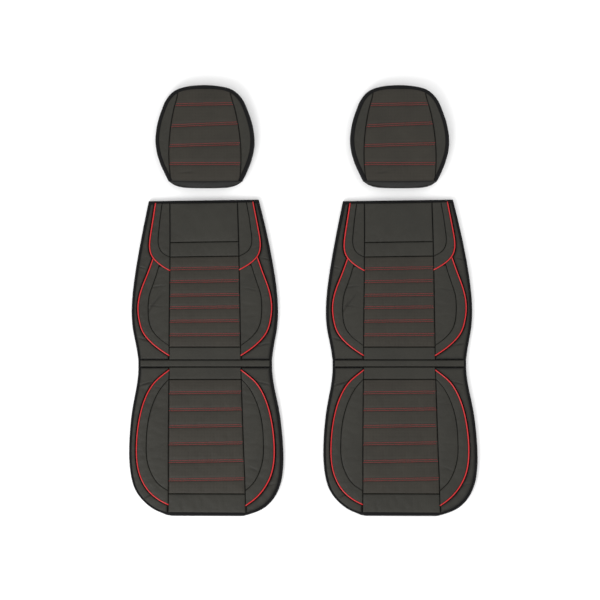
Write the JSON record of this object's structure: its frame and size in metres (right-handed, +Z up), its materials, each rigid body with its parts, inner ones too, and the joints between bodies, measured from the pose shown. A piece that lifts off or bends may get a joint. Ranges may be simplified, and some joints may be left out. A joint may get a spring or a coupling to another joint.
{
  "type": "seat cover set",
  "caption": "Pair of one-piece front-seat covers with quilted centre panels, red piping and straps, laid flat with matching headrest covers.",
  "frame": {"origin": "on the surface the set lies on, under the middle of its bounding box", "axes": "+Z up from the surface, +Y from the seat fronts towards the headrest covers, +X to the right seen from above"},
  "size_m": [1.198, 1.479, 0.045],
  "materials": {
    "leather": "charcoal coated leather cloth, fine grain, satin",
    "perforated_leather": "charcoal coated leather cloth, finely perforated, quilted",
    "red_piping": "red coated piping, semi-gloss",
    "binding_tape": "black woven binding tape",
    "backing_cloth": "dark grey knitted backing cloth with anti-slip dots",
    "elastic": "black ribbed elastic",
    "webbing": "black woven webbing",
    "black_plastic": "moulded, fine spark texture",
    "red_thread": "twisted sewing thread",
    "black_thread": "twisted sewing thread"
  },
  "bodies": {
    "left_seat": {"left_seat_centre_panels": "perforated_leather", "left_seat_bolsters": "leather", "left_seat_side_panels": "leather", "left_seat_piping": "red_piping", "left_seat_binding": "binding_tape", "left_seat_backing": "backing_cloth", "left_hook_loops": "elastic"},
    "left_gusset": {"left_gusset_strip": "leather", "left_gusset_binding": "binding_tape", "left_anchor_tabs": "webbing"},
    "left_back": {"left_back_centre_panels": "perforated_leather", "left_back_wings": "leather", "left_back_bolsters": "leather", "left_back_side_panels": "leather", "left_back_piping": "red_piping", "left_back_binding": "binding_tape", "left_back_backing": "backing_cloth", "left_back_strap": "elastic", "left_buckle_socket": "black_plastic"},
    "left_tongue": {"left_buckle_tongue": "black_plastic"},
    "left_anchor_left": {"left_anchor_left": "black_plastic"},
    "left_hook_left": {"left_hook_left": "black_plastic"},
    "left_anchor_right": {"left_anchor_right": "black_plastic"},
    "left_hook_right": {"left_hook_right": "black_plastic"},
    "left_headrest_cover": {"left_headrest_front_panel": "perforated_leather", "left_headrest_side_panels": "leather", "left_headrest_rim_band": "binding_tape", "left_headrest_back_panel": "backing_cloth", "left_headrest_elastic_hem": "elastic"},
    "right_seat": {"right_seat_centre_panels": "perforated_leather", "right_seat_bolsters": "leather", "right_seat_side_panels": "leather", "right_seat_piping": "red_piping", "right_seat_binding": "binding_tape", "right_seat_backing": "backing_cloth", "right_hook_loops": "elastic"},
    "right_gusset": {"right_gusset_strip": "leather", "right_gusset_binding": "binding_tape", "right_anchor_tabs": "webbing"},
    "right_back": {"right_back_centre_panels": "perforated_leather", "right_back_wings": "leather", "right_back_bolsters": "leather", "right_back_side_panels": "leather", "right_back_piping": "red_piping", "right_back_binding": "binding_tape", "right_back_backing": "backing_cloth", "right_back_strap": "elastic", "right_buckle_socket": "black_plastic"},
    "right_tongue": {"right_buckle_tongue": "black_plastic"},
    "right_anchor_left": {"right_anchor_left": "black_plastic"},
    "right_hook_left": {"right_hook_left": "black_plastic"},
    "right_anchor_right": {"right_anchor_right": "black_plastic"},
    "right_hook_right": {"right_hook_right": "black_plastic"},
    "right_headrest_cover": {"right_headrest_front_panel": "perforated_leather", "right_headrest_side_panels": "leather", "right_headrest_rim_band": "binding_tape", "right_headrest_back_panel": "backing_cloth", "right_headrest_elastic_hem": "elastic"}
  },
  "joints": [
    {"name": "left_seat_fold", "type": "hinge", "parent": "left_seat", "child": "left_gusset", "pos_m": [-0.3338, -0.227, 0.021], "axis": [1, 0, 0], "range_deg": [0, 90]},
    {"name": "left_back_fold", "type": "hinge", "parent": "left_gusset", "child": "left_back", "pos_m": [-0.3338, -0.2023, 0.021], "axis": [1, 0, 0], "range_deg": [0, 90]},
    {"name": "left_buckle_release", "type": "slide", "parent": "left_back", "child": "left_tongue", "axis": [1, 0, 0], "range_m": [0, 0.022], "deforming": ["left_back_strap"]},
    {"name": "left_anchor_left_swing", "type": "hinge", "parent": "left_gusset", "child": "left_anchor_left", "pos_m": [-0.4538, -0.1746, 0.0052], "axis": [-1, 0, 0], "range_deg": [0, 90]},
    {"name": "left_hook_left_swing", "type": "hinge", "parent": "left_seat", "child": "left_hook_left", "pos_m": [-0.4588, -0.6775, 0.0052], "axis": [-1, 0, 0], "range_deg": [0, 90]},
    {"name": "left_anchor_right_swing", "type": "hinge", "parent": "left_gusset", "child": "left_anchor_right", "pos_m": [-0.2138, -0.1746, 0.0052], "axis": [-1, 0, 0], "range_deg": [0, 90]},
    {"name": "left_hook_right_swing", "type": "hinge", "parent": "left_seat", "child": "left_hook_right", "pos_m": [-0.2088, -0.6775, 0.0052], "axis": [-1, 0, 0], "range_deg": [0, 90]},
    {"name": "right_seat_fold", "type": "hinge", "parent": "right_seat", "child": "right_gusset", "pos_m": [0.3338, -0.227, 0.021], "axis": [1, 0, 0], "range_deg": [0, 90]},
    {"name": "right_back_fold", "type": "hinge", "parent": "right_gusset", "child": "right_back", "pos_m": [0.3338, -0.2023, 0.021], "axis": [1, 0, 0], "range_deg": [0, 90]},
    {"name": "right_buckle_release", "type": "slide", "parent": "right_back", "child": "right_tongue", "axis": [1, 0, 0], "range_m": [0, 0.022], "deforming": ["right_back_strap"]},
    {"name": "right_anchor_left_swing", "type": "hinge", "parent": "right_gusset", "child": "right_anchor_left", "pos_m": [0.2138, -0.1746, 0.0052], "axis": [-1, 0, 0], "range_deg": [0, 90]},
    {"name": "right_hook_left_swing", "type": "hinge", "parent": "right_seat", "child": "right_hook_left", "pos_m": [0.2088, -0.6775, 0.0052], "axis": [-1, 0, 0], "range_deg": [0, 90]},
    {"name": "right_anchor_right_swing", "type": "hinge", "parent": "right_gusset", "child": "right_anchor_right", "pos_m": [0.4538, -0.1746, 0.0052], "axis": [-1, 0, 0], "range_deg": [0, 90]},
    {"name": "right_hook_right_swing", "type": "hinge", "parent": "right_seat", "child": "right_hook_right", "pos_m": [0.4588, -0.6775, 0.0052], "axis": [-1, 0, 0], "range_deg": [0, 90]},
    {"name": "right_cover_lift", "type": "slide", "parent": "left_seat", "child": "right_seat", "axis": [0, 0, 1], "range_m": [0, 0.25]},
    {"name": "left_headrest_lift", "type": "slide", "parent": "left_seat", "child": "left_headrest_cover", "axis": [0, 0, 1], "range_m": [0, 0.25]},
    {"name": "right_headrest_lift", "type": "slide", "parent": "left_seat", "child": "right_headrest_cover", "axis": [0, 0, 1], "range_m": [0, 0.25]}
  ]
}
